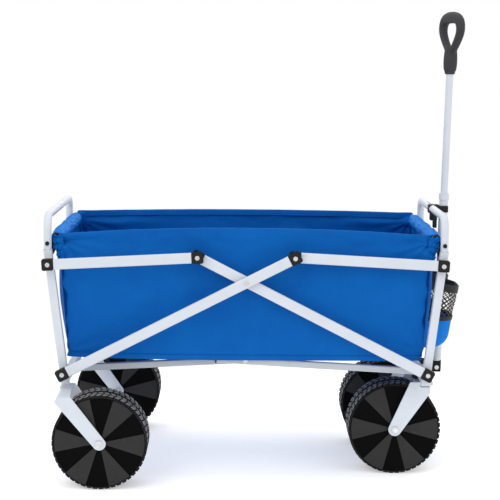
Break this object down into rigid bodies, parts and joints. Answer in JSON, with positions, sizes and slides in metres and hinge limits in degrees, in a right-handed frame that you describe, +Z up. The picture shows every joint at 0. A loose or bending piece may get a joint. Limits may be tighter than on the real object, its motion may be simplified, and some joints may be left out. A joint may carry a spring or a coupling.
{
  "type": "beach cart",
  "caption": "Collapsible beach cart with a scissor-folding steel frame, fabric tub, wide wheels, front casters, cup pockets and a telescoping pull handle.",
  "frame": {"origin": "on the ground, under the centre of the cart's box", "axes": "+X towards the handle end, +Y to the left, +Z up"},
  "size_m": [1.0284, 0.694, 1.1321],
  "materials": {
    "white_steel": "satin powder coat",
    "grey_steel": "satin powder coat",
    "zinc_steel": "zinc plated",
    "black_plastic": "fine grained",
    "grip_plastic": "soft matt",
    "wheel_plastic": "moulded",
    "tyre_rubber": "matt",
    "blue_fabric": "woven polyester",
    "sleeve_fabric": "woven polyester",
    "pocket_mesh": "mesh and polyester"
  },
  "bodies": {
    "rear_frame": {"rear_frame_tubes": "white_steel", "rear_push_bar": "white_steel", "rear_bar_plugs": "black_plastic", "rear_rim_tube": "white_steel", "rear_rim_sleeve": "sleeve_fabric", "rear_corner_brackets": "black_plastic", "rear_pivot_pins": "zinc_steel", "rear_forks": "white_steel", "rear_axles": "zinc_steel", "rear_side_panels": "blue_fabric", "rear_floor": "blue_fabric", "rear_end_panel": "blue_fabric"},
    "front_frame": {"front_frame_tubes": "white_steel", "front_carry_bar": "white_steel", "front_plugs": "black_plastic", "front_rim_tube": "white_steel", "front_rim_sleeve": "sleeve_fabric", "front_corner_brackets": "black_plastic", "front_pivot_pins": "zinc_steel", "caster_sockets": "black_plastic", "cup_pockets": "pocket_mesh", "handle_bracket": "black_plastic", "handle_pin": "zinc_steel", "storage_clip": "black_plastic", "front_side_panels": "blue_fabric", "front_floor": "blue_fabric", "front_end_panel": "blue_fabric"},
    "long_bars_a": {"long_bars_a": "white_steel", "long_bar_a_blocks": "black_plastic", "long_bar_a_rivets": "zinc_steel"},
    "long_bars_b": {"long_bars_b": "white_steel", "long_bar_b_blocks": "black_plastic"},
    "front_top_bars": {"front_top_bars": "white_steel", "front_top_bar_blocks": "black_plastic"},
    "rear_top_bars": {"rear_top_bars": "white_steel", "rear_top_bar_blocks": "black_plastic", "rear_top_bar_rivets": "zinc_steel"},
    "front_floor_rails": {"front_floor_rails": "grey_steel", "front_rail_caps": "black_plastic", "front_rail_rivets": "zinc_steel"},
    "rear_floor_rails": {"rear_floor_rails": "grey_steel"},
    "caster_right": {"caster_right_fork": "white_steel", "caster_right_hardware": "zinc_steel"},
    "caster_left": {"caster_left_fork": "white_steel", "caster_left_hardware": "zinc_steel"},
    "front_wheel_right": {"front_right_wheel": "wheel_plastic", "front_right_tyre": "tyre_rubber"},
    "front_wheel_left": {"front_left_wheel": "wheel_plastic", "front_left_tyre": "tyre_rubber"},
    "rear_wheel_right": {"rear_right_wheel": "wheel_plastic", "rear_right_tyre": "tyre_rubber"},
    "rear_wheel_left": {"rear_left_wheel": "wheel_plastic", "rear_left_tyre": "tyre_rubber"},
    "handle": {"handle_foot": "black_plastic", "handle_outer_tube": "white_steel", "handle_collar": "black_plastic"},
    "handle_slider": {"handle_inner_tube": "white_steel", "grip_front_shell": "grip_plastic", "grip_rear_shell": "grip_plastic"},
    "lock_button": {"lock_button": "black_plastic"}
  },
  "joints": [
    {"name": "fold", "type": "hinge", "parent": "rear_frame", "child": "long_bars_a", "pos_m": [-0.46749, 0, 0.266], "axis": [0, -1, 0], "range_deg": [0, 61.73], "deforming": ["rear_side_panels", "rear_floor", "rear_end_panel", "front_side_panels", "front_floor", "front_end_panel"]},
    {"name": "bars_cross", "type": "hinge", "parent": "long_bars_a", "child": "long_bars_b", "pos_m": [-0.02749, 0, 0.491], "axis": [0, -1, 0], "range_deg": [-111.9, 0]},
    {"name": "front_post_turn", "type": "hinge", "parent": "long_bars_b", "child": "front_frame", "pos_m": [0.41251, 0, 0.266], "axis": [0, -1, 0], "range_deg": [0, 61.74]},
    {"name": "rear_top_bar_turn", "type": "hinge", "parent": "rear_frame", "child": "rear_top_bars", "pos_m": [-0.49969, 0, 0.53206], "axis": [0, -1, 0], "range_deg": [0, 84.85]},
    {"name": "front_top_bar_turn", "type": "hinge", "parent": "front_frame", "child": "front_top_bars", "pos_m": [0.44471, 0, 0.53206], "axis": [0, -1, 0], "range_deg": [-84.85, 0]},
    {"name": "rear_rail_turn", "type": "hinge", "parent": "rear_frame", "child": "rear_floor_rails", "pos_m": [-0.46749, 0, 0.266], "axis": [0, -1, 0], "range_deg": [0, 84.85]},
    {"name": "front_rail_turn", "type": "hinge", "parent": "front_frame", "child": "front_floor_rails", "pos_m": [0.41251, 0, 0.266], "axis": [0, -1, 0], "range_deg": [-84.85, 0]},
    {"name": "rear_wheel_right_spin", "type": "hinge", "parent": "rear_frame", "child": "rear_wheel_right", "pos_m": [-0.37349, -0.284, 0.114], "axis": [0, 1, 0], "continuous": true},
    {"name": "rear_wheel_left_spin", "type": "hinge", "parent": "rear_frame", "child": "rear_wheel_left", "pos_m": [-0.37349, 0.284, 0.114], "axis": [0, 1, 0], "continuous": true},
    {"name": "caster_right_swivel", "type": "hinge", "parent": "front_frame", "child": "caster_right", "pos_m": [0.41251, -0.132, 0.234], "axis": [0, 0, 1], "continuous": true},
    {"name": "caster_left_swivel", "type": "hinge", "parent": "front_frame", "child": "caster_left", "pos_m": [0.41251, 0.132, 0.234], "axis": [0, 0, 1], "continuous": true},
    {"name": "front_wheel_right_spin", "type": "hinge", "parent": "caster_right", "child": "front_wheel_right", "pos_m": [0.34351, -0.132, 0.114], "axis": [0, 1, 0], "continuous": true},
    {"name": "front_wheel_left_spin", "type": "hinge", "parent": "caster_left", "child": "front_wheel_left", "pos_m": [0.34351, 0.132, 0.114], "axis": [0, 1, 0], "continuous": true},
    {"name": "handle_swing", "type": "hinge", "parent": "front_frame", "child": "handle", "pos_m": [0.46751, 0, 0.235], "axis": [0, 1, 0], "range_deg": [0, 100]},
    {"name": "handle_slide", "type": "slide", "parent": "handle", "child": "handle_slider", "axis": [0.0227, 0, 0.9997], "range_m": [-0.29, 0]},
    {"name": "lock_button_press", "type": "slide", "parent": "handle_slider", "child": "lock_button", "axis": [0.9561, 0.2924, -0.0217], "range_m": [0, 0.002], "stiffness_N_per_m": 400, "springref_m": -0.001}
  ],
  "couplings": [
    {"joint": "bars_cross", "follows": "fold", "ratio": -1.8125},
    {"joint": "front_post_turn", "follows": "fold", "ratio": 1},
    {"joint": "rear_top_bar_turn", "follows": "fold", "ratio": 1.3743},
    {"joint": "front_top_bar_turn", "follows": "fold", "ratio": -1.3743},
    {"joint": "rear_rail_turn", "follows": "fold", "ratio": 1.3744},
    {"joint": "front_rail_turn", "follows": "fold", "ratio": -1.3744}
  ]
}
